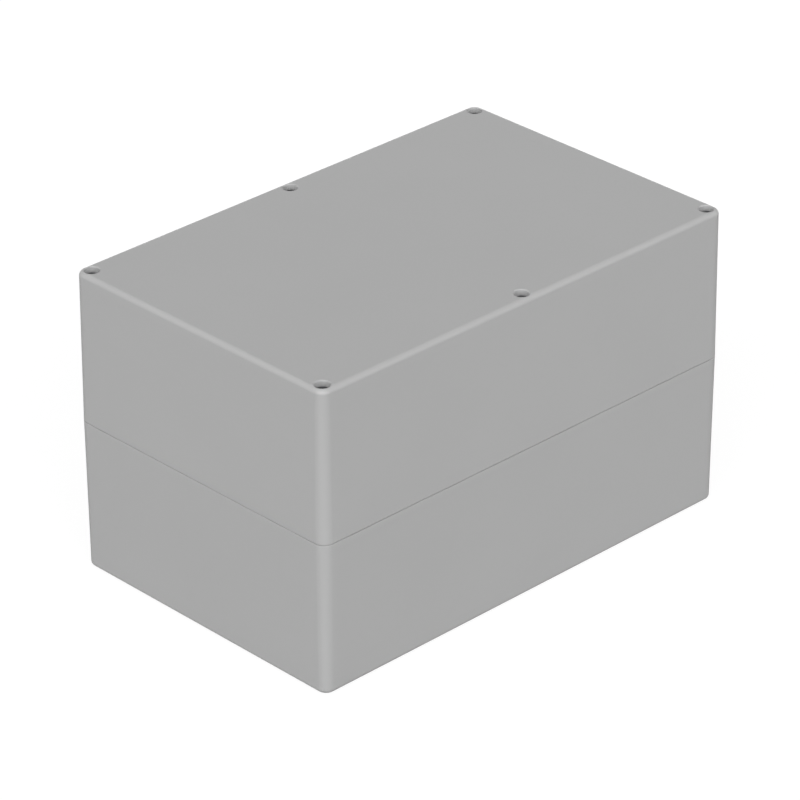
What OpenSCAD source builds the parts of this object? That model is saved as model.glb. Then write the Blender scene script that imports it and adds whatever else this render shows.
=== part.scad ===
// Deep polycarbonate enclosure: two drafted halves that meet at mid height, sealed by a gasket
// in a groove and held by six captive screws. Origin at the middle of the underside, +X along
// the length, +Y across the width, +Z up. All sizes in millimetres.

/* [Case] */
// Length over the outside, at the seam
case_length = 250; // [200:5:320]
// Width over the outside, at the seam
case_width = 160; // [130:5:220]
// Height of the base, from the underside to the seam
base_height = 75; // [50:1:110]
// Height of the lid, from the seam to the top face
lid_height = 75; // [50:1:110]
// Wall thickness at the seam
wall = 4.0; // [3.5:0.1:5.5]
// Thickness of the base's floor
floor_thickness = 3.5; // [2.5:0.1:5]
// Thickness of the lid's top
top_thickness = 3.5; // [2.5:0.1:5]
// Draft of the outer walls, in degrees
draft = 0.45; // [0.2:0.05:1]
// Radius of the upright corners, at the seam
corner_radius = 5.4; // [4.5:0.1:8]
// Radius of the edge round the lid's top
lid_edge_radius = 2.4; // [1:0.1:3]
// Radius of the edge round the base's underside
base_edge_radius = 2.1; // [1:0.1:3]
// Height of the shadow gap that draws the seam line between the two rims
seam_gap = 0.3; // [0.1:0.05:0.5]
// Chamfer on the outer edge of each rim, above and below the gap
seam_chamfer = 0.2; // [0.1:0.05:0.5]
// Radius of the cavity's corners
cavity_radius = 2; // [1:0.1:4]
// Radius on the corners of the screw posts
post_radius = 4; // [3.5:0.1:6]
// Radius of the fillet where the inner walls meet the floor and the top
foot_radius = 1.5; // [0.5:0.1:3]

/* [Seal] */
// Lip between the cavity and the seal groove
inner_lip = 0.8; // [0.6:0.1:1.5]
// Width of the seal groove in the lid
groove_width = 2.0; // [1.6:0.1:2.4]
// Depth of the seal groove in the lid
groove_depth = 4.0; // [3:0.1:6]
// Width of the tongue on the base's rim
tongue_width = 1.2; // [0.8:0.1:1.4]
// Height of the tongue on the base's rim
tongue_height = 1.8; // [1:0.1:2.5]
// Clearance between the gasket and each wall of the groove
gasket_clearance = 0.05; // [0.02:0.01:0.15]
// Least plastic between the groove and a bore beside it
seal_land = 1.2; // [0.8:0.1:2]

/* [Cover screws] */
// Distance of each screw from the outer faces beside it, at the seam
screw_inset = 6; // [5.5:0.1:8]
// Thread diameter
thread_d = 4; // [3:0.5:5]
// Length of the thread
thread_length = 9.5; // [7:0.5:14]
// Diameter of the thinner shank above the thread
shank_d = 3.2; // [2.2:0.1:3.6]
// Distance from the seam down to the screw's tip
thread_reach = 10.5; // [9.5:0.1:16]
// Length of the tapered tip
tip_length = 0.7; // [0.4:0.1:1]
// Head diameter
head_d = 6.4; // [6:0.1:8]
// Head height
head_height = 2.8; // [2:0.1:4]
// Depth of the head's top below the lid's top face
head_depth = 2.7; // [1:0.1:8]
// Chamfer round the head's top
head_chamfer = 0.4; // [0.1:0.1:0.6]
// Length of each arm's full span in the cross recess
cross_span = 3.6; // [2.5:0.1:4]
// Width of the arms of the cross recess
cross_width = 0.9; // [0.6:0.1:1.2]
// Depth of the cross recess
cross_depth = 1.6; // [0.8:0.1:1.8]
// Gap between the head and the wall of its recess
head_clearance = 0.3; // [0.2:0.05:0.6]
// Chamfer round the mouth of each recess
recess_chamfer = 0.45; // [0.2:0.05:0.8]
// Gap between the thread and the bore through the lid
bore_clearance = 0.3; // [0.2:0.05:0.5]

/* [Screw retainers] */
// Outer diameter of the ring that keeps a screw in the lid
retainer_d = 5.6; // [5.2:0.1:6.4]
// Thickness of the ring
retainer_height = 1.2; // [0.8:0.1:2]
// Gap between the ring and the screw's shank
retainer_clearance = 0.08; // [0.04:0.01:0.1]
// How far an undone screw's tip draws back behind the lid's rim
tip_hidden = 0.5; // [0.3:0.1:2]

/* [Inserts] */
// Outer diameter of the inserts for the cover screws
screw_insert_d = 5.8; // [5.2:0.1:6.4]
// Length of the inserts for the cover screws
screw_insert_length = 8.5; // [6:0.5:9]
// Thread diameter of the inserts in the floor bosses
plate_thread_d = 4; // [3:0.5:5]
// Outer diameter of the inserts in the floor bosses
plate_insert_d = 5.6; // [5.2:0.1:6.4]
// Length of the inserts in the floor bosses
plate_insert_length = 7; // [5:0.5:8]
// Gap between a thread and the bore of its insert
thread_clearance = 0.05; // [0.02:0.01:0.1]
// Gap between an insert or a ring and the plastic round it
press_clearance = 0.02; // [0.01:0.01:0.05]

/* [Wall mounting] */
// Diameter of the channels that the wall screws go down
channel_d = 8.2; // [7:0.1:9]
// Diameter of the hole through the floor under each channel
mount_hole_d = 4.5; // [3.5:0.1:6]
// Plastic left under each channel
channel_floor = 6; // [4:0.1:10]
// Plastic between a channel and the long side's outer face, at the seam
channel_side_wall = 2.4; // [2:0.1:4]
// Plastic between a channel and the insert beside it
channel_web = 2.0; // [1.5:0.1:4]

/* [Bosses] */
// Distance of the bosses from the end faces, at the seam
boss_inset_x = 27; // [20:1:60]
// Distance of the bosses from the long sides, at the seam
boss_inset_y = 28; // [24:1:50]
// Diameter of the bosses on the base's floor
floor_boss_d = 9.6; // [8.5:0.1:14]
// Height of the bosses above the base's floor
floor_boss_height = 9; // [8:0.5:16]
// Diameter of the bosses under the lid's top
lid_boss_d = 8; // [7:0.1:12]
// Height of the bosses under the lid's top
lid_boss_height = 8; // [6:0.5:16]
// Diameter of the blind pilot holes in the lid's bosses
pilot_d = 3.3; // [2.5:0.1:4]
// Depth of the blind pilot holes in the lid's bosses
pilot_depth = 7; // [5:0.5:9]
// Height and reach of the flare at each boss's foot
boss_flare = 1.0; // [0.4:0.1:2]

/* [Hidden] */
$fn = 64;
// Overshoot of cutters past the faces they open, and overlap of joined shapes
over = 1;
// Degrees by which the edge roundings stop short of the faces beside them
edge_lead = 3;

half_length = case_length / 2;
half_width = case_width / 2;
seam_z = base_height;
top_z = base_height + lid_height;

bore_r = thread_d / 2 + bore_clearance;
recess_r = head_d / 2 + head_clearance;
insert_pocket_r = screw_insert_d / 2 + press_clearance;
retainer_pocket_r = retainer_d / 2 + press_clearance;
channel_r = channel_d / 2;
// Widest of the bores that share a post's axis
post_bore_r = max(bore_r, screw_insert_d / 2, retainer_d / 2);

screw_x = half_length - screw_inset;
screw_y = half_width - screw_inset;
mount_x = screw_x - post_bore_r - channel_web - channel_r;
mount_y = half_width - channel_side_wall - channel_r;
boss_x = half_length - boss_inset_x;
boss_y = half_width - boss_inset_y;

// Inner faces of the walls and of the posts, which stand clear of the seal groove
seal_margin = inner_lip + groove_width + seal_land;
cavity_x = half_length - wall;
cavity_y = half_width - wall;
corner_post_x = mount_x - channel_r - seal_margin;
corner_post_y = min(mount_y - channel_r, screw_y - post_bore_r) - seal_margin;
side_post_x = post_bore_r + seal_margin;
side_post_y = screw_y - post_bore_r - seal_margin;

// Corners of a quarter of the cavity's outline, from an end wall to the middle post, and the radius
// that each turns by: above 0 in a corner of the cavity, below 0 round the corner of a post
cavity_corners = [
    [cavity_x, 0, 0],
    [cavity_x, corner_post_y, cavity_radius],
    [corner_post_x, corner_post_y, -post_radius],
    [corner_post_x, cavity_y, cavity_radius],
    [side_post_x, cavity_y, cavity_radius],
    [side_post_x, side_post_y, -post_radius],
    [0, side_post_y, 0]
];
// The fillet is no larger than the corners that it goes round
foot = min(foot_radius, cavity_radius);

tongue_gap = (groove_width - tongue_width) / 2;
// The shadow gap reaches half way in from the outer face to the seal groove
seam_gap_depth = (wall - inner_lip - groove_width) / 2;
head_top_z = top_z - head_depth;
head_seat_z = head_top_z - head_height;
tip_z = seam_z - thread_reach;
thread_top_z = tip_z + thread_length;
retainer_z = seam_z + tip_hidden + thread_length;

screw_places = [
    for (x = [-screw_x, 0, screw_x])
        for (y = [-screw_y, screw_y])
            [x, y]
];
corner_signs = [[-1, -1], [1, -1], [1, 1], [-1, 1]];
mount_places = [for (s = corner_signs) [s.x * mount_x, s.y * mount_y]];
boss_places = [for (s = corner_signs) [s.x * boss_x, s.y * boss_y]];

shell_grey = "#a8aaa9";
gasket_black = "#2b2c2d";
blackened_steel = "#67696b";
brass = "#c9a552";
nylon = "#e9e7df";

screw_numbers = [1 : len(screw_places)];
boss_numbers = [1 : len(boss_places)];

// Section through one edge of a half, from the corner's axis outwards and from the seam up
module edge_section(height, edge_radius) {
    taper = tan(draft);
    lead = edge_radius * cos(edge_lead);
    round_z = height - lead;
    round_u = corner_radius - taper * (round_z - seam_chamfer) - lead / cos(draft);
    top_u = corner_radius - taper * (height - seam_chamfer);
    difference() {
        polygon([
            [0, 0],
            [corner_radius - seam_chamfer, 0],
            [corner_radius, seam_chamfer],
            [top_u, height],
            [0, height]
        ]);
        difference() {
            translate([round_u, round_z]) square(corner_radius);
            translate([round_u, round_z]) circle(edge_radius);
        }
    }
}

// One solid half standing on the seam: the section runs along the sides and turns at the corners
module half_solid(height, edge_radius) {
    core_x = half_length - corner_radius;
    core_y = half_width - corner_radius;
    translate([-core_x, -core_y, 0]) cube([2 * core_x, 2 * core_y, height]);
    for (turn = [0 : 3]) {
        out = turn % 2 == 0 ? core_x : core_y;
        along = turn % 2 == 0 ? core_y : core_x;
        rotate([0, 0, 90 * turn]) translate([out, along, 0]) {
            rotate([90, 0, 0])
                linear_extrude(2 * along) edge_section(height, edge_radius);
            rotate_extrude(angle = 90) edge_section(height, edge_radius);
        }
    }
}

module rounded_rectangle(width, depth, radius) {
    square([width - 2 * radius, depth], center = true);
    square([width, depth - 2 * radius], center = true);
    for (s = corner_signs)
        translate([s.x * (width / 2 - radius), s.y * (depth / 2 - radius)]) circle(radius);
}

// What a rounding takes off a post's corner; the post lies towards +X and +Y
module rounding_waste(radius) {
    difference() {
        square(radius);
        translate([radius, radius]) circle(radius);
    }
}

// Plan of the cavity, which goes round the posts, grown outwards by a given amount
module cavity_plan(grow) {
    inner_round = cavity_radius + grow;
    post_round = post_radius - grow;
    bay_width = corner_post_x - side_post_x + 2 * grow;
    bay_middle = (corner_post_x + side_post_x) / 2;
    rounded_rectangle(2 * (cavity_x + grow), 2 * (corner_post_y + grow), inner_round);
    square([2 * side_post_x, 2 * (side_post_y + grow)], center = true);
    for (side = [-1, 1])
        translate([side * bay_middle, 0])
            rounded_rectangle(bay_width, 2 * (cavity_y + grow), inner_round);
    for (s = corner_signs)
        in_quarter(s) {
            translate([corner_post_x + grow, corner_post_y + grow]) rounding_waste(post_round);
            translate([side_post_x - grow, side_post_y + grow])
                mirror([1, 0]) rounding_waste(post_round);
        }
}

// Mirrors into the quarter that the two signs name
module in_quarter(s) {
    mirror([s.x < 0 ? 1 : 0, 0]) mirror([0, s.y < 0 ? 1 : 0]) children();
}

// Section of the fillet at the foot of a wall, from the wall inwards and from the floor up
module foot_section() {
    lead = foot * cos(edge_lead);
    difference() {
        translate([-over, -over]) square(lead + over);
        translate([lead, lead]) circle(foot);
    }
}

// Fillet that follows the cavity's outline round the floor: straight lengths joined by turns
module cavity_foot() {
    for (s = corner_signs)
        in_quarter(s) for (i = [1 : len(cavity_corners) - 1]) {
            from = cavity_corners[i - 1];
            to = cavity_corners[i];
            span = [to.x - from.x, to.y - from.y];
            start = abs(from.z);
            turn = abs(to.z);
            translate([from.x, from.y, 0]) rotate([0, 0, atan2(span.y, span.x)]) {
                translate([start, 0, 0])
                    rotate([90, 0, 90]) linear_extrude(norm(span) - start - turn) foot_section();
                translate([norm(span) - turn, to.z, 0]) {
                    if (to.z > 0)
                        rotate([0, 0, -90]) rotate_extrude(angle = 90)
                            translate([turn, 0]) mirror([1, 0]) foot_section();
                    if (to.z < 0)
                        rotate_extrude(angle = 90) translate([turn, 0]) foot_section();
                }
            }
        }
}

// Band that follows the cavity, between two distances from it
module seal_band(inner, outer) {
    difference() {
        cavity_plan(outer);
        cavity_plan(inner);
    }
}

// Boss with a flared foot, standing on z = 0
module boss(diameter, height) {
    cylinder(d = diameter, h = height);
    cylinder(r1 = diameter / 2 + boss_flare, r2 = diameter / 2, h = boss_flare);
}

// Ring with a bore, standing on z = 0
module ring(outer_d, inner_d, height) {
    difference() {
        cylinder(d = outer_d, h = height);
        translate([0, 0, -over]) cylinder(d = inner_d, h = height + 2 * over);
    }
}

module base() {
    color(shell_grey) difference() {
        union() {
            difference() {
                translate([0, 0, seam_z])
                    mirror([0, 0, 1]) half_solid(base_height, base_edge_radius);
                translate([0, 0, floor_thickness])
                    linear_extrude(base_height) cavity_plan(0);
            }
            translate([0, 0, seam_z])
                linear_extrude(tongue_height)
                    seal_band(inner_lip + tongue_gap, inner_lip + tongue_gap + tongue_width);
            translate([0, 0, floor_thickness]) cavity_foot();
            for (p = boss_places)
                translate([p.x, p.y, floor_thickness]) boss(floor_boss_d, floor_boss_height);
        }
        for (p = screw_places) translate([p.x, p.y, 0]) {
            translate([0, 0, seam_z - screw_insert_length])
                cylinder(r = insert_pocket_r, h = screw_insert_length + over);
            translate([0, 0, channel_floor]) cylinder(r = bore_r, h = base_height);
        }
        for (p = mount_places) translate([p.x, p.y, 0]) {
            translate([0, 0, channel_floor]) cylinder(r = channel_r, h = base_height);
            translate([0, 0, -over]) cylinder(d = mount_hole_d, h = channel_floor + 2 * over);
        }
        for (p = boss_places)
            translate([p.x, p.y, floor_thickness + floor_boss_height - plate_insert_length])
                cylinder(d = plate_insert_d + 2 * press_clearance, h = plate_insert_length + over);
    }
}

// Part of the lid's rim that comes down to the seam, inside the shadow gap
module lid_rim() {
    linear_extrude(seam_gap + over)
        rounded_rectangle(
            case_length - 2 * seam_gap_depth,
            case_width - 2 * seam_gap_depth,
            corner_radius - seam_gap_depth
        );
}

module lid() {
    color(shell_grey) difference() {
        union() {
            difference() {
                union() {
                    translate([0, 0, seam_z + seam_gap])
                        half_solid(lid_height - seam_gap, lid_edge_radius);
                    translate([0, 0, seam_z]) lid_rim();
                }
                translate([0, 0, seam_z - over])
                    linear_extrude(lid_height - top_thickness + over) cavity_plan(0);
            }
            translate([0, 0, top_z - top_thickness]) mirror([0, 0, 1]) {
                cavity_foot();
                for (p = boss_places) translate([p.x, p.y, 0]) boss(lid_boss_d, lid_boss_height);
            }
        }
        translate([0, 0, seam_z - over])
            linear_extrude(groove_depth + over)
                seal_band(inner_lip, inner_lip + groove_width);
        for (p = screw_places) translate([p.x, p.y, 0]) {
            translate([0, 0, seam_z - over]) cylinder(r = bore_r, h = lid_height);
            translate([0, 0, seam_z - over])
                cylinder(r = retainer_pocket_r, h = retainer_z + retainer_height - seam_z + over);
            translate([0, 0, head_seat_z]) cylinder(r = recess_r, h = top_z - head_seat_z + over);
            translate([0, 0, top_z - recess_chamfer])
                cylinder(r1 = recess_r, r2 = recess_r + recess_chamfer + over, h = recess_chamfer + over);
        }
        for (p = mount_places) translate([p.x, p.y, seam_z - over])
            cylinder(r = channel_r, h = lid_height - top_thickness + over);
        for (p = boss_places)
            translate([p.x, p.y, top_z - top_thickness - lid_boss_height - over])
                cylinder(d = pilot_d, h = pilot_depth + over);
    }
}

module gasket() {
    color(gasket_black)
        translate([0, 0, seam_z + tongue_height])
            linear_extrude(groove_depth - tongue_height)
                seal_band(inner_lip + gasket_clearance, inner_lip + groove_width - gasket_clearance);
}

// Cheese-head screw with a thin shank above its thread and a cross recess
module cover_screw(i) {
    p = screw_places[i - 1];
    head_r = head_d / 2;
    thread_r = thread_d / 2;
    tip_r = thread_r - tip_length;
    color(blackened_steel) translate([p.x, p.y, 0]) difference() {
        rotate_extrude() polygon([
            [0, tip_z],
            [tip_r, tip_z],
            [thread_r, tip_z + tip_length],
            [thread_r, thread_top_z],
            [shank_d / 2, thread_top_z],
            [shank_d / 2, head_seat_z],
            [head_r, head_seat_z],
            [head_r, head_top_z - head_chamfer],
            [head_r - head_chamfer, head_top_z],
            [0, head_top_z]
        ]);
        for (turn = [0, 90]) rotate([0, 0, turn])
            translate([-cross_span / 2, -cross_width / 2, head_top_z - cross_depth])
                cube([cross_span, cross_width, cross_depth + over]);
    }
}

module screw_insert(i) {
    p = screw_places[i - 1];
    color(brass) translate([p.x, p.y, seam_z - screw_insert_length])
        ring(screw_insert_d, thread_d + 2 * thread_clearance, screw_insert_length);
}

module screw_retainer(i) {
    p = screw_places[i - 1];
    color(nylon) translate([p.x, p.y, retainer_z])
        ring(retainer_d, shank_d + 2 * retainer_clearance, retainer_height);
}

module plate_insert(i) {
    p = boss_places[i - 1];
    color(brass) translate([p.x, p.y, floor_thickness + floor_boss_height - plate_insert_length])
        ring(plate_insert_d, plate_thread_d + 2 * thread_clearance, plate_insert_length);
}

base();
lid();
gasket();
for (i = screw_numbers) {
    cover_screw(i);
    screw_insert(i);
    screw_retainer(i);
}
for (i = boss_numbers) {
    plate_insert(i);
}
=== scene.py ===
import math

import bpy
from mathutils import Matrix, Vector


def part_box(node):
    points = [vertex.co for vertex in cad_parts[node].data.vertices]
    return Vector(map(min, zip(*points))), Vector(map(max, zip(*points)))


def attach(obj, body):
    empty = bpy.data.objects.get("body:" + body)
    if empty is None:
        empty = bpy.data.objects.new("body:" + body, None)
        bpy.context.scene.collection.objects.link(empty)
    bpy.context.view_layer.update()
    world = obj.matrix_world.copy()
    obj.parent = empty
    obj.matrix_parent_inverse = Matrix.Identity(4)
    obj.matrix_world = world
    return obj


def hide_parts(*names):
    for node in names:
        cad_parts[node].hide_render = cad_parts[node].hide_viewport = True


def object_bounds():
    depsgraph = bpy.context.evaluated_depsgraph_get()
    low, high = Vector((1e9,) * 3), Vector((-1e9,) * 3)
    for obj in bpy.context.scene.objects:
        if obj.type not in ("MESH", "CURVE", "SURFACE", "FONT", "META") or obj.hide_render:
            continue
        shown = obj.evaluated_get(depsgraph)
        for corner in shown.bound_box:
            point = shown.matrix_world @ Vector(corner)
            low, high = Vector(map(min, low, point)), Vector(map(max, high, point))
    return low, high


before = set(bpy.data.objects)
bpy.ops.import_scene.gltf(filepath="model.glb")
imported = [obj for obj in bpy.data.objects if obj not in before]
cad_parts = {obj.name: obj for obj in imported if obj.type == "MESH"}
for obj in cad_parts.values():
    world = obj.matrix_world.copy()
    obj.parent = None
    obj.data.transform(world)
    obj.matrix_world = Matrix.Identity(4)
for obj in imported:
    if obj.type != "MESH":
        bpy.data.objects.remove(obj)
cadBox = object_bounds()  # box of the bare solids

mm = 0.001  # one millimetre in metres


# sRGB hex to the linear values that the nodes take
def linearColour(hexColour):
    channels = [int(hexColour[i:i + 2], 16) / 255 for i in (1, 3, 5)]
    return [c / 12.92 if c <= 0.04045 else ((c + 0.055) / 1.055) ** 2.4 for c in channels] + [1.0]


white = linearColour("#ffffff")


# an input is either another node's socket, which gets linked, or a plain value
def addNode(tree, kind, inputs=None, **settings):
    node = tree.nodes.new(kind)
    for name, value in settings.items():
        setattr(node, name, value)
    for socket, value in (inputs or {}).items():
        if isinstance(value, bpy.types.NodeSocket):
            tree.links.new(value, node.inputs[socket])
        else:
            node.inputs[socket].default_value = value
    return node


def newMaterial(name):
    material = bpy.data.materials.new(name)
    material.use_nodes = True
    return material, material.node_tree, material.node_tree.nodes["Principled BSDF"]


# camera: stands at the photo's angle and looks along a long lens, fitted to the six screws and the outline
cameraFit = {
    "azimuth": -44.08,              # degrees, 0 looks along +Y
    "elevation": 28.43,             # degrees above the horizon
    "roll": -0.21,                  # degrees
    "distance": 1.977,              # metres from the middle of the part
    "lens": 196.0,                  # mm
    "sensor": 36.0,                 # mm
    "frameSize": 800,               # pixels
    "middlePixel": (403.6, 386.9),  # where the middle of the part falls
}


def addCamera(fit):
    data = bpy.data.cameras.new("camera")
    data.sensor_width = fit["sensor"]
    data.lens = fit["lens"]
    camera = bpy.data.objects.new("camera", data)
    bpy.context.scene.collection.objects.link(camera)
    middle = (cadBox[0] + cadBox[1]) / 2
    turn, rise = math.radians(fit["azimuth"]), math.radians(fit["elevation"])
    back = Vector((math.sin(turn) * math.cos(rise), -math.cos(turn) * math.cos(rise), math.sin(rise)))
    facing = (-back).to_track_quat("-Z", "Y")
    right, up = facing @ Vector((1, 0, 0)), facing @ Vector((0, 1, 0))
    metresPerPixel = fit["distance"] * fit["sensor"] / fit["lens"] / fit["frameSize"]
    across, down = [pixel - fit["frameSize"] / 2 for pixel in fit["middlePixel"]]
    aim = middle - (right * across - up * down) * metresPerPixel
    place = middle + back * fit["distance"]
    looking = (aim - place).to_track_quat("-Z", "Y").to_matrix()
    rolled = looking @ Matrix.Rotation(math.radians(fit["roll"]), 3, "Z")
    camera.matrix_world = Matrix.LocRotScale(place, rolled, None)
    bpy.context.scene.camera = camera


addCamera(cameraFit)
print("camera placed")


# studio: white paper in a pale room, a wide soft light on the camera's side and a low fill behind the part;
# a light grows from none to full over each of its pairs: across the room, from below and from above
studio = {
    "room": (0.23, 0.54),        # brightness of the room below and above the part
    "roomFade": (-0.44, -0.34),  # heights between which the room changes, as sines
    "lightTurn": -45.9,          # degrees, the side that the soft light comes from
    "key": {"brightness": 4.0, "across": (0.08, 0.50), "low": (0.155, 0.305), "high": (0.74, 0.49)},
    "fill": {"brightness": 2.2, "across": (-0.72, -0.92), "low": (-0.5, -0.3), "high": (0.15, 0.0)},
    "paperSize": 9,              # metres
    "paperDrop": 0.2,            # mm below the part
    "paperColour": "#6b6b6b",
    "paperGlow": 0.88,           # keeps the paper white and its contact shadow faint
}


def addRoom(setup):
    world = bpy.data.worlds.new("softRoom")
    world.use_nodes = True
    tree = world.node_tree
    tree.nodes.clear()
    direction = addNode(tree, "ShaderNodeTexCoord").outputs["Generated"]
    height = addNode(tree, "ShaderNodeSeparateXYZ", {0: direction}).outputs["Z"]
    turn = math.radians(setup["lightTurn"])
    towards = (math.sin(turn), -math.cos(turn), 0.0)
    side = addNode(tree, "ShaderNodeVectorMath", {0: direction, 1: towards}, operation="DOT_PRODUCT")
    glow = addNode(tree, "ShaderNodeMapRange", {
        "Value": height, "From Min": setup["roomFade"][0], "From Max": setup["roomFade"][1],
        "To Min": setup["room"][0], "To Max": setup["room"][1]},
        interpolation_type="SMOOTHSTEP").outputs[0]
    for light in (setup["key"], setup["fill"]):
        level = light["brightness"]
        for value, pair in ((side.outputs["Value"], "across"), (height, "low"), (height, "high")):
            level = addNode(tree, "ShaderNodeMapRange", {
                "Value": value, "From Min": light[pair][0], "From Max": light[pair][1],
                "To Min": 0.0, "To Max": level}, interpolation_type="SMOOTHSTEP").outputs[0]
        glow = addNode(tree, "ShaderNodeMath", {0: glow, 1: level}, operation="ADD").outputs[0]
    # the room lights the part, and the camera sees plain white behind it
    dome = addNode(tree, "ShaderNodeBackground", {"Color": white, "Strength": glow}).outputs[0]
    backdrop = addNode(tree, "ShaderNodeBackground", {"Color": white, "Strength": 1.0}).outputs[0]
    seen = addNode(tree, "ShaderNodeLightPath").outputs["Is Camera Ray"]
    blend = addNode(tree, "ShaderNodeMixShader", {0: seen, 1: dome, 2: backdrop}).outputs[0]
    addNode(tree, "ShaderNodeOutputWorld", {"Surface": blend})
    bpy.context.scene.world = world
    bpy.context.scene.view_settings.view_transform = "Standard"


def addPaper(setup):
    material, _, shader = newMaterial("white_paper")
    shader.inputs["Base Color"].default_value = linearColour(setup["paperColour"])
    shader.inputs["Roughness"].default_value = 1.0
    shader.inputs["Specular IOR Level"].default_value = 0.0
    shader.inputs["Emission Color"].default_value = white
    shader.inputs["Emission Strength"].default_value = setup["paperGlow"]
    half, low = setup["paperSize"] / 2, cadBox[0].z - setup["paperDrop"] * mm
    mesh = bpy.data.meshes.new("paper")
    corners = [(-half, -half, low), (half, -half, low), (half, half, low), (-half, half, low)]
    mesh.from_pydata(corners, [], [(0, 1, 2, 3)])
    mesh.materials.append(material)
    paper = bpy.data.objects.new("paper", mesh)
    bpy.context.scene.collection.objects.link(paper)
    # the paper shows the part's shadow, but the room alone lights the part
    paper.visible_diffuse = paper.visible_glossy = paper.visible_shadow = False


addRoom(studio)
addPaper(studio)
print("studio lit")


noiseSpan = (0.3, 0.7)  # nearly all values of a noise texture lie between these
waveTurn = 20           # radians that a wave texture turns over a metre at scale 1


# Polycarbonate, injection moulded. The mould's outer faces are spark eroded, which gives an even matt grey
# with a fine grain and wide soft highlights; the milled core leaves the inside a little smoother.
polycarbonate = {
    "grey": "#a3a3a3",
    "denseGrey": "#a0a0a0",       # faint clouds where the melt ran denser
    "cloudMm": 45,
    "cloudDetail": 3.0,
    "grainMm": 0.9,               # the real pits are about 0.05 mm, drawn coarser so that they show
    "grainDetail": 4.0,
    "grainDepthMm": 0.010,
    "roughness": (0.46, 0.54),
    "coreRoughness": 0.44,
    "ior": 1.585,
    "skinShare": (0.975, 0.985),  # share of the half sizes past which a face is an outer one
}


def polycarbonateMaterial(look):
    material, tree, shader = newMaterial("spark_eroded_polycarbonate")
    place = addNode(tree, "ShaderNodeTexCoord").outputs["Object"]
    low, high = cadBox
    offset = addNode(tree, "ShaderNodeVectorMath", {0: place, 1: (low + high) / 2}, operation="SUBTRACT")
    distance = addNode(tree, "ShaderNodeVectorMath", {0: offset.outputs[0]}, operation="ABSOLUTE")
    share = addNode(tree, "ShaderNodeVectorMath", {0: distance.outputs[0], 1: (high - low) / 2},
                    operation="DIVIDE")
    axes = addNode(tree, "ShaderNodeSeparateXYZ", {0: share.outputs[0]}).outputs
    widest = addNode(tree, "ShaderNodeMath", {0: axes["X"], 1: axes["Y"]}, operation="MAXIMUM")
    outermost = addNode(tree, "ShaderNodeMath", {0: widest.outputs[0], 1: axes["Z"]}, operation="MAXIMUM")
    skin = addNode(tree, "ShaderNodeMapRange", {
        "Value": outermost.outputs[0], "From Min": look["skinShare"][0], "From Max": look["skinShare"][1]})

    clouds = addNode(tree, "ShaderNodeTexNoise", {
        "Vector": place, "Scale": 1 / (look["cloudMm"] * mm), "Detail": look["cloudDetail"]})
    tone = addNode(tree, "ShaderNodeMix", {
        "Factor": clouds.outputs["Fac"],
        "A": linearColour(look["grey"]), "B": linearColour(look["denseGrey"])}, data_type="RGBA")
    grain = addNode(tree, "ShaderNodeTexNoise", {
        "Vector": place, "Scale": 1 / (look["grainMm"] * mm), "Detail": look["grainDetail"]})
    matt = addNode(tree, "ShaderNodeMapRange", {
        "Value": grain.outputs["Fac"], "From Min": noiseSpan[0], "From Max": noiseSpan[1],
        "To Min": look["roughness"][0], "To Max": look["roughness"][1]})
    roughness = addNode(tree, "ShaderNodeMix", {
        "Factor": skin.outputs[0], "A": look["coreRoughness"], "B": matt.outputs[0]}, data_type="FLOAT")
    pits = addNode(tree, "ShaderNodeBump", {
        "Height": grain.outputs["Fac"], "Strength": skin.outputs[0], "Distance": look["grainDepthMm"] * mm})
    shader.inputs["IOR"].default_value = look["ior"]
    tree.links.new(tone.outputs["Result"], shader.inputs["Base Color"])
    tree.links.new(roughness.outputs["Result"], shader.inputs["Roughness"])
    tree.links.new(pits.outputs[0], shader.inputs["Normal"])
    return material


# Silicone rubber, moulded: near black and matt, with a soft pebbled skin that dulls every highlight.
silicone = {
    "black": "#29292b", "grey": "#343436", "roughness": 0.62, "ior": 1.41,
    "pebbleMm": 0.4, "pebbleDetail": 2.0, "pebbleDepthMm": 0.01,
}


def siliconeMaterial(look):
    material, tree, shader = newMaterial("moulded_silicone_rubber")
    place = addNode(tree, "ShaderNodeTexCoord").outputs["Object"]
    pebble = addNode(tree, "ShaderNodeTexNoise", {
        "Vector": place, "Scale": 1 / (look["pebbleMm"] * mm), "Detail": look["pebbleDetail"]})
    tone = addNode(tree, "ShaderNodeMix", {
        "Factor": pebble.outputs["Fac"],
        "A": linearColour(look["black"]), "B": linearColour(look["grey"])}, data_type="RGBA")
    skin = addNode(tree, "ShaderNodeBump", {
        "Height": pebble.outputs["Fac"], "Distance": look["pebbleDepthMm"] * mm})
    shader.inputs["Roughness"].default_value = look["roughness"]
    shader.inputs["IOR"].default_value = look["ior"]
    tree.links.new(tone.outputs["Result"], shader.inputs["Base Color"])
    tree.links.new(skin.outputs[0], shader.inputs["Normal"])
    return material


# Nylon, moulded in its natural colour: a waxy off-white with faint milky clouds and a soft shine.
nylon = {
    "white": "#e2dfd3", "milk": "#d8d4c6", "roughness": 0.42, "ior": 1.53,
    "cloudMm": 1.5, "cloudDetail": 2.0,
}


def nylonMaterial(look):
    material, tree, shader = newMaterial("moulded_natural_nylon")
    place = addNode(tree, "ShaderNodeTexCoord").outputs["Object"]
    clouds = addNode(tree, "ShaderNodeTexNoise", {
        "Vector": place, "Scale": 1 / (look["cloudMm"] * mm), "Detail": look["cloudDetail"]})
    tone = addNode(tree, "ShaderNodeMix", {
        "Factor": clouds.outputs["Fac"],
        "A": linearColour(look["white"]), "B": linearColour(look["milk"])}, data_type="RGBA")
    shader.inputs["Roughness"].default_value = look["roughness"]
    shader.inputs["IOR"].default_value = look["ior"]
    tree.links.new(tone.outputs["Result"], shader.inputs["Base Color"])
    return material


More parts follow.
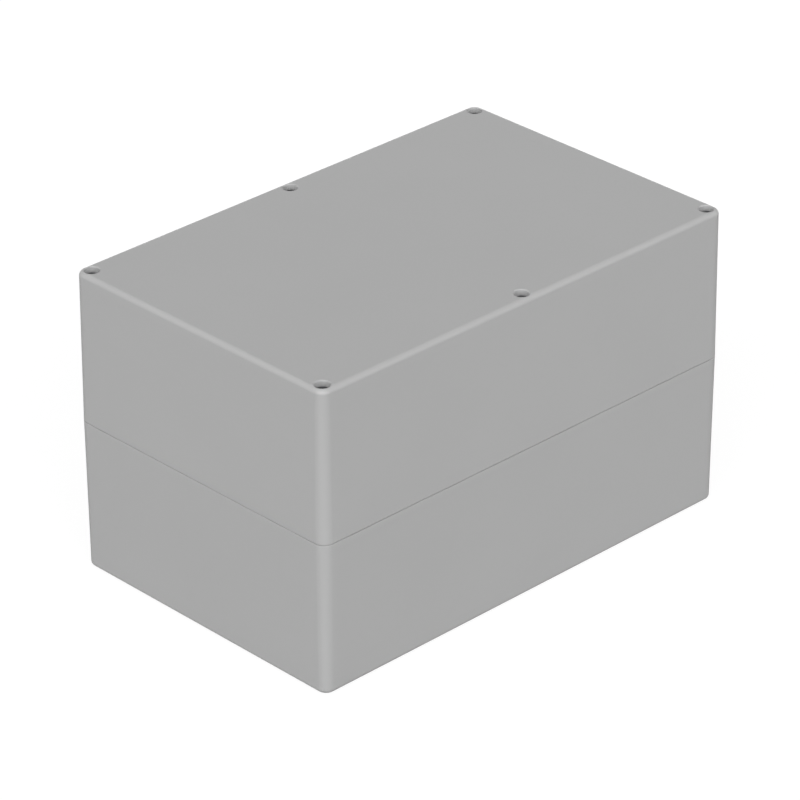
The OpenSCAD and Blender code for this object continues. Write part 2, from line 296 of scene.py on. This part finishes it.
# Turned metals: the tool leaves fine rings round the axis, read from the place that each piece stores on its
# mesh. Blackened steel is a dark grey with a satin shine; brass is warm and bright.
turnedSteel = {
    "name": "turned_blackened_steel", "tone": "#67696b", "shade": "#55575a", "roughness": (0.28, 0.40),
    "cloudMm": 2.0, "cloudDetail": 3.0, "ringDepthMm": 0.006, "ringWobble": 0.4, "ringDetail": 1.0,
    "ringMm": 0.35,  # the real rings are about 0.1 mm apart, drawn coarser so that they show
}
turnedBrass = {
    "name": "turned_brass", "tone": "#c8a351", "shade": "#b08c40", "roughness": (0.24, 0.36),
    "cloudMm": 2.0, "cloudDetail": 3.0, "ringDepthMm": 0.005, "ringWobble": 0.4, "ringDetail": 1.0,
    "ringMm": 0.35,
}


def turnedMetalMaterial(look):
    material, tree, shader = newMaterial(look["name"])
    place = addNode(tree, "ShaderNodeAttribute", attribute_name="turnedPlace").outputs["Vector"]
    rings = addNode(tree, "ShaderNodeTexWave", {
        "Vector": place, "Scale": 2 * math.pi / (waveTurn * look["ringMm"] * mm),
        "Distortion": look["ringWobble"], "Detail": look["ringDetail"]},
        wave_type="RINGS", rings_direction="Z")
    clouds = addNode(tree, "ShaderNodeTexNoise", {
        "Vector": place, "Scale": 1 / (look["cloudMm"] * mm), "Detail": look["cloudDetail"]})
    tone = addNode(tree, "ShaderNodeMix", {
        "Factor": clouds.outputs["Fac"],
        "A": linearColour(look["tone"]), "B": linearColour(look["shade"])}, data_type="RGBA")
    polish = addNode(tree, "ShaderNodeMapRange", {
        "Value": clouds.outputs["Fac"], "From Min": noiseSpan[0], "From Max": noiseSpan[1],
        "To Min": look["roughness"][0], "To Max": look["roughness"][1]})
    ridges = addNode(tree, "ShaderNodeBump", {
        "Height": rings.outputs["Fac"], "Distance": look["ringDepthMm"] * mm})
    shader.inputs["Metallic"].default_value = 1.0
    tree.links.new(tone.outputs["Result"], shader.inputs["Base Color"])
    tree.links.new(polish.outputs[0], shader.inputs["Roughness"])
    tree.links.new(ridges.outputs[0], shader.inputs["Normal"])
    return material


materials = {
    "shell": polycarbonateMaterial(polycarbonate),
    "gasket": siliconeMaterial(silicone),
    "nylon": nylonMaterial(nylon),
    "steel": turnedMetalMaterial(turnedSteel),
    "brass": turnedMetalMaterial(turnedBrass),
}
# the solids that stay in view; the screws and inserts are replaced below
nodeFinish = {"base": "shell", "lid": "shell", "gasket": "gasket", "screw_retainer": "nylon"}
for name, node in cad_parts.items():
    finish = nodeFinish.get(name.rstrip("_0123456789"))
    if finish:
        node.data.materials.clear()
        node.data.materials.append(materials[finish])
print("materials made:", ", ".join(materials))


# turned pieces: Geometry Nodes turn a profile (x is the radius, z the height) round the axis, with a column
# of points for each step, and cut a thread and a knurl by the values stored on the profile's rows
turnedForm = {
    "crestFlat": 1 / 8, "rootFlat": 1 / 4,  # flats of a metric thread, as shares of its pitch
    "mergeMm": 0.001,                       # closes the seam and the poles, clears slivers of a cut
    "creaseAngle": 40,                      # degrees, edges that turn further stay sharp
    "arcSteps": 5,
}
rowLabels = ("threadCut", "lowest", "highest", "knurlCut", "knurlTurn")
halfWave = 0.5  # a ping-pong over half a wave runs up and down once in each wave


def newTree(name, inputs):
    tree = bpy.data.node_groups.new(name, "GeometryNodeTree")
    tree.interface.new_socket("Geometry", in_out="OUTPUT", socket_type="NodeSocketGeometry")
    tree.interface.new_socket("Profile", in_out="INPUT", socket_type="NodeSocketGeometry")
    for label, kind in inputs.items():
        tree.interface.new_socket(label, in_out="INPUT", socket_type="NodeSocket" + kind)
    return tree, addNode(tree, "NodeGroupInput").outputs


def turningTree(form):
    tree, given = newTree("turnProfile", {
        "Steps Round": "Int", "Thread Pitch": "Float", "Knurl Teeth": "Int"})
    profile, steps, pitch = given["Profile"], given["Steps Round"], given["Thread Pitch"]
    rows = addNode(tree, "GeometryNodeAttributeDomainSize", {"Geometry": profile}).outputs["Point Count"]
    columns = addNode(tree, "ShaderNodeMath", {0: steps, 1: 1.0}, operation="ADD").outputs[0]
    grid = addNode(tree, "GeometryNodeMeshGrid", {"Vertices X": columns, "Vertices Y": rows}).outputs["Mesh"]
    index = addNode(tree, "GeometryNodeInputIndex").outputs[0]
    row = addNode(tree, "ShaderNodeMath", {0: index, 1: rows}, operation="MODULO").outputs[0]
    column = addNode(tree, "ShaderNodeMath", {0: index, 1: rows}, operation="DIVIDE").outputs[0]
    column = addNode(tree, "ShaderNodeMath", {0: column}, operation="FLOOR").outputs[0]
    turn = addNode(tree, "ShaderNodeMath", {0: column, 1: steps}, operation="DIVIDE").outputs[0]

    place = addNode(tree, "GeometryNodeInputPosition").outputs[0]
    point = addNode(tree, "GeometryNodeSampleIndex", {"Geometry": profile, "Value": place, "Index": row},
                    data_type="FLOAT_VECTOR").outputs[0]
    point = addNode(tree, "ShaderNodeSeparateXYZ", {0: point}).outputs
    sampled = {}
    for label in rowLabels:
        stored = addNode(tree, "GeometryNodeInputNamedAttribute", {"Name": label}, data_type="FLOAT")
        sampled[label] = addNode(tree, "GeometryNodeSampleIndex", {
            "Geometry": profile, "Value": stored.outputs["Attribute"], "Index": row},
            data_type="FLOAT").outputs[0]

    # thread: its rows climb along a right-hand helix and stop at its ends, the other rows keep their height;
    # the wave has straight flanks between flat crests and roots
    climb = addNode(tree, "ShaderNodeMath", {0: turn, 1: pitch, 2: point["Z"]},
                    operation="MULTIPLY_ADD").outputs[0]
    height = addNode(tree, "ShaderNodeClamp", {
        "Value": climb, "Min": sampled["lowest"], "Max": sampled["highest"]}).outputs[0]
    along = addNode(tree, "ShaderNodeMath", {0: height, 1: pitch}, operation="DIVIDE").outputs[0]
    phase = addNode(tree, "ShaderNodeMath", {0: along, 1: turn}, operation="SUBTRACT").outputs[0]
    phase = addNode(tree, "ShaderNodeMath", {0: phase, 1: halfWave}, operation="PINGPONG").outputs[0]
    wave = addNode(tree, "ShaderNodeMapRange", {
        "Value": phase, "From Min": form["crestFlat"] / 2, "From Max": halfWave - form["rootFlat"] / 2})
    cut = addNode(tree, "ShaderNodeMath", {0: wave.outputs[0], 1: sampled["threadCut"]},
                  operation="MULTIPLY").outputs[0]
    radius = addNode(tree, "ShaderNodeMath", {0: point["X"], 1: cut}, operation="SUBTRACT").outputs[0]

    # knurl: teeth round the piece, which lean by the turn stored on each row
    teeth = addNode(tree, "ShaderNodeMath", {0: turn, 1: given["Knurl Teeth"]},
                    operation="MULTIPLY").outputs[0]
    teeth = addNode(tree, "ShaderNodeMath", {0: teeth, 1: halfWave}, operation="PINGPONG").outputs[0]
    teeth = addNode(tree, "ShaderNodeMath", {0: teeth, 1: halfWave}, operation="DIVIDE").outputs[0]
    cut = addNode(tree, "ShaderNodeMath", {0: teeth, 1: sampled["knurlCut"]},
                  operation="MULTIPLY").outputs[0]
    radius = addNode(tree, "ShaderNodeMath", {0: radius, 1: cut}, operation="SUBTRACT").outputs[0]

    angle = addNode(tree, "ShaderNodeMath", {0: turn, 1: sampled["knurlTurn"]}, operation="ADD").outputs[0]
    angle = addNode(tree, "ShaderNodeMath", {0: angle, 1: 2 * math.pi}, operation="MULTIPLY").outputs[0]
    across = addNode(tree, "ShaderNodeMath", {0: angle}, operation="COSINE").outputs[0]
    across = addNode(tree, "ShaderNodeMath", {0: across, 1: radius}, operation="MULTIPLY").outputs[0]
    aside = addNode(tree, "ShaderNodeMath", {0: angle}, operation="SINE").outputs[0]
    aside = addNode(tree, "ShaderNodeMath", {0: aside, 1: radius}, operation="MULTIPLY").outputs[0]
    spot = addNode(tree, "ShaderNodeCombineXYZ", {"X": across, "Y": aside, "Z": height}).outputs[0]
    turned = addNode(tree, "GeometryNodeSetPosition", {"Geometry": grid, "Position": spot}).outputs[0]
    closed = addNode(tree, "GeometryNodeMergeByDistance", {
        "Geometry": turned, "Distance": form["mergeMm"] * mm}).outputs[0]
    addNode(tree, "NodeGroupOutput", {"Geometry": closed})
    return tree


# stores each point's place about the axis, creases the sharp edges, then moves the piece and paints it
def addFinishing(tree, given, shape, form):
    place = addNode(tree, "GeometryNodeInputPosition").outputs[0]
    marked = addNode(tree, "GeometryNodeStoreNamedAttribute", {
        "Geometry": shape, "Name": "turnedPlace", "Value": place}, data_type="FLOAT_VECTOR").outputs[0]
    smooth = addNode(tree, "GeometryNodeSetShadeSmooth", {"Geometry": marked, "Shade Smooth": True},
                     domain="FACE").outputs[0]
    angle = addNode(tree, "GeometryNodeInputMeshEdgeAngle").outputs["Unsigned Angle"]
    sharp = addNode(tree, "FunctionNodeCompare", {"A": angle, "B": math.radians(form["creaseAngle"])},
                    data_type="FLOAT", operation="GREATER_THAN").outputs[0]
    creased = addNode(tree, "GeometryNodeSetShadeSmooth", {
        "Geometry": smooth, "Selection": sharp, "Shade Smooth": False}, domain="EDGE").outputs[0]
    moved = addNode(tree, "GeometryNodeTransform", {"Geometry": creased, "Translation": given["Place"]})
    real = addNode(tree, "GeometryNodeRealizeInstances", {"Geometry": moved.outputs[0]}).outputs[0]
    painted = addNode(tree, "GeometryNodeSetMaterial", {"Geometry": real, "Material": given["Material"]})
    addNode(tree, "NodeGroupOutput", {"Geometry": painted.outputs[0]})


def insertTree(turning, form):
    tree, given = newTree("knurledInsert", {
        "Steps Round": "Int", "Thread Pitch": "Float", "Knurl Teeth": "Int",
        "Place": "Vector", "Material": "Material"})
    turned = addNode(tree, "GeometryNodeGroup", {
        "Profile": given["Profile"], "Steps Round": given["Steps Round"],
        "Thread Pitch": given["Thread Pitch"], "Knurl Teeth": given["Knurl Teeth"]}, node_tree=turning)
    addFinishing(tree, given, turned.outputs[0], form)
    return tree


def screwTree(turning, form):
    tree, given = newTree("coverScrew", {
        "Steps Round": "Int", "Thread Pitch": "Float", "Head Top": "Float", "Cross Size": "Vector",
        "Cross Taper": "Float", "Cross Turn": "Float", "Place": "Vector", "Material": "Material"})
    turned = addNode(tree, "GeometryNodeGroup", {
        "Profile": given["Profile"], "Steps Round": given["Steps Round"],
        "Thread Pitch": given["Thread Pitch"]}, node_tree=turning)
    # cross recess: a tapered bar, half of it above the head, is cut out twice, a quarter turn apart
    bar = addNode(tree, "GeometryNodeMeshCube", {"Size": given["Cross Size"]}).outputs["Mesh"]
    place = addNode(tree, "GeometryNodeInputPosition").outputs[0]
    height = addNode(tree, "ShaderNodeSeparateXYZ", {0: place}).outputs["Z"]
    depth = addNode(tree, "ShaderNodeSeparateXYZ", {0: given["Cross Size"]}).outputs["Z"]
    rise = addNode(tree, "ShaderNodeMath", {0: height, 1: depth}, operation="DIVIDE").outputs[0]
    flare = addNode(tree, "ShaderNodeMath", {0: rise, 1: given["Cross Taper"], 2: 1.0},
                    operation="MULTIPLY_ADD").outputs[0]
    scale = addNode(tree, "ShaderNodeCombineXYZ", {"X": flare, "Y": flare, "Z": 1.0}).outputs[0]
    spot = addNode(tree, "ShaderNodeVectorMath", {0: place, 1: scale}, operation="MULTIPLY").outputs[0]
    bar = addNode(tree, "GeometryNodeSetPosition", {"Geometry": bar, "Position": spot}).outputs[0]
    top = addNode(tree, "ShaderNodeCombineXYZ", {"Z": given["Head Top"]}).outputs[0]
    driven = turned.outputs[0]
    for quarter in (0.0, math.pi / 2):
        angle = addNode(tree, "ShaderNodeMath", {0: given["Cross Turn"], 1: quarter}, operation="ADD")
        rotation = addNode(tree, "ShaderNodeCombineXYZ", {"Z": angle.outputs[0]}).outputs[0]
        laid = addNode(tree, "GeometryNodeTransform", {
            "Geometry": bar, "Translation": top, "Rotation": rotation}).outputs[0]
        driven = addNode(tree, "GeometryNodeMeshBoolean", {
            "Mesh 1": driven, "Mesh 2": laid}, solver="MANIFOLD", operation="DIFFERENCE").outputs[0]
    clean = addNode(tree, "GeometryNodeMergeByDistance", {
        "Geometry": driven, "Distance": form["mergeMm"] * mm}).outputs[0]
    addFinishing(tree, given, clean, form)
    return tree


def profileMesh(name, rows):
    mesh = bpy.data.meshes.new(name)
    edges = [(i, i + 1) for i in range(len(rows) - 1)]
    mesh.from_pydata([(row["r"], 0, row["z"]) for row in rows], edges, [])
    for label in rowLabels:
        stored = mesh.attributes.new(label, "FLOAT", "POINT")
        height = label in ("lowest", "highest")  # a row that doesn't climb keeps its own height
        stored.data.foreach_set("value", [row.get(label, row["z"] if height else 0.0) for row in rows])
    return mesh


def turnedPiece(name, tree, rows, values):
    piece = bpy.data.objects.new(name, profileMesh(name, rows))
    bpy.context.scene.collection.objects.link(piece)
    modifier = piece.modifiers.new("turning", "NODES")
    modifier.node_group = tree
    for socket in tree.interface.items_tree:
        if socket.in_out == "INPUT" and socket.name in values:
            modifier[socket.identifier] = values[socket.name]
    bpy.context.view_layer.update()
    mesh = bpy.data.meshes.new_from_object(piece.evaluated_get(bpy.context.evaluated_depsgraph_get()))
    piece.modifiers.remove(modifier)
    piece.data = mesh
    return piece


def arc(centreR, centreZ, radius, start, end):
    steps = turnedForm["arcSteps"]
    angles = [math.radians(start + (end - start) * i / steps) for i in range(steps + 1)]
    return [{"r": centreR + radius * math.cos(a), "z": centreZ + radius * math.sin(a)} for a in angles]


# a row at each corner of the thread's wave, from a pitch below its low end to its high end
def threadRows(low, high, pitch, radius, cut):
    crest, root = turnedForm["crestFlat"] / 2, turnedForm["rootFlat"] / 2
    corners = (crest, halfWave - root, halfWave + root, 1 - crest)
    turns = range(math.floor(low / pitch) - 1, math.ceil(high / pitch))
    heights = [(turn + corner) * pitch for turn in turns for corner in corners]
    rows = [{"r": radius, "z": height, "lowest": low, "highest": high, "threadCut": cut}
            for height in heights if low - pitch < height < high]
    first, last = [{"r": radius, "z": end, "threadCut": cut} for end in (low, high)]
    return [first] + rows + [last]


# cover screws: a thin shank above the thread, a cheese head and a cross recess; sizes in mm
coverScrew = {
    "threadD": 4.0, "coreD": 3.2, "pitch": 0.7, "threadLength": 9.5, "tipLength": 0.7,
    "headHeight": 2.8, "headRounding": 0.4, "headEdge": 0.1, "neckRounding": 0.2,
    "crossSpan": 3.6, "crossWidth": 0.9, "crossDepth": 1.6, "crossTaper": 0.35,  # share lost on the way down
    "stepsRound": 72, "tipRows": 14, "turnPerScrew": 37,  # degrees: no two stop at the same angle
}


def coverScrewRows(size, low, high, headR):
    threadR, coreR = size["threadD"] * mm / 2, size["coreD"] * mm / 2
    tip, top = low + size["tipLength"] * mm, low + size["threadLength"] * mm
    deep, tipR = threadR - coreR, threadR - size["tipLength"] * mm
    seat, edge = high - size["headHeight"] * mm, size["headEdge"] * mm
    rounding, neck = size["headRounding"] * mm, size["neckRounding"] * mm
    rows = [{"r": 0.0, "z": low}]
    for i in range(size["tipRows"]):
        share = i / size["tipRows"]
        radius = tipR + (threadR - tipR) * share
        rows.append({"r": radius, "z": low + (tip - low) * share, "threadCut": max(0.0, radius - coreR)})
    rows += threadRows(tip, top - deep, size["pitch"] * mm, threadR, deep)
    rows.append({"r": coreR, "z": top})
    rows += arc(coreR + neck, seat - neck, neck, 180, 90)
    rows += [{"r": headR - edge, "z": seat}, {"r": headR, "z": seat + edge}]
    rows += arc(headR - rounding, high - rounding, rounding, 0, 90)
    rows.append({"r": 0.0, "z": high})
    return rows


def addCoverScrews(size, tree):
    names = sorted(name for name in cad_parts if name.startswith("cover_screw_"))
    for number, name in enumerate(names, 1):
        low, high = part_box(name)
        middle = (low + high) / 2
        rows = coverScrewRows(size, low.z, high.z, (high.x - low.x) / 2)
        piece = turnedPiece(f"coverScrew{number}", tree, rows, {
            "Steps Round": size["stepsRound"], "Thread Pitch": size["pitch"] * mm, "Head Top": high.z,
            "Cross Size": (size["crossSpan"] * mm, size["crossWidth"] * mm, 2 * size["crossDepth"] * mm),
            "Cross Taper": 2 * size["crossTaper"], "Cross Turn": math.radians(size["turnPerScrew"] * number),
            "Place": (middle.x, middle.y, 0.0), "Material": materials["steel"]})
        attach(piece, name)
        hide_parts(name)
    print("cover screws turned:", len(names))


# brass inserts: two knurled bands that lean opposite ways, a waist and a threaded bore; sizes in mm
insert = {
    "boreD": 4.1, "pitch": 0.7, "threadDepth": 0.2, "entryChamfer": 0.3, "leadChamfer": 0.3,
    "waist": 1.2, "waistDepth": 0.25, "waistSlope": 0.2,
    "knurlDepth": 0.22, "knurlTeeth": 24, "knurlLean": 0.45,  # teeth of lean per mm
    "stepsRound": 96, "rowsPerBand": 4,
}


def insertRows(size, low, high, outerR):
    boreR, deep = size["boreD"] * mm / 2, size["threadDepth"] * mm
    lead, entry = size["leadChamfer"] * mm, size["entryChamfer"] * mm
    middle, waist = (low + high) / 2, size["waist"] * mm / 2
    waistR, slope = outerR - size["waistDepth"] * mm, size["waistSlope"] * mm
    steps, band = size["rowsPerBand"], middle - waist - low - lead
    bandTurn = size["knurlLean"] / size["knurlTeeth"] * band / mm  # share of a turn that the teeth lean
    lower, upper = [], []
    for i in range(steps + 1):
        share = i / steps
        tooth = {"r": outerR, "knurlCut": size["knurlDepth"] * mm}
        lower.append(dict(tooth, z=low + lead + band * share, knurlTurn=bandTurn * share))
        upper.append(dict(tooth, z=middle + waist + band * share, knurlTurn=bandTurn * (1 - share)))
    waistEnds = (middle - waist + slope, middle + waist - slope)
    rows = [{"r": outerR - lead, "z": low}] + lower
    rows += [{"r": waistR, "z": height, "knurlTurn": bandTurn} for height in waistEnds]
    rows += upper + [{"r": outerR - lead, "z": high}, {"r": boreR + entry, "z": high}]
    rows += reversed(threadRows(low + entry, high - entry, size["pitch"] * mm, boreR + deep, deep))
    rows += [{"r": boreR + entry, "z": low}, dict(rows[0])]
    return rows


def addInserts(size, tree):
    names = sorted(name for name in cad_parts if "_insert_" in name)
    for name in names:
        low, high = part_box(name)
        middle = (low + high) / 2
        kind, number = name.split("_insert_")
        rows = insertRows(size, low.z, high.z, (high.x - low.x) / 2)
        piece = turnedPiece(f"{kind}Insert{number}", tree, rows, {
            "Steps Round": size["stepsRound"], "Thread Pitch": size["pitch"] * mm,
            "Knurl Teeth": size["knurlTeeth"], "Place": (middle.x, middle.y, 0.0),
            "Material": materials["brass"]})
        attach(piece, "base")
        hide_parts(name)
    print("brass inserts turned:", len(names))


turning = turningTree(turnedForm)
addCoverScrews(coverScrew, screwTree(turning, turnedForm))
addInserts(insert, insertTree(turning, turnedForm))
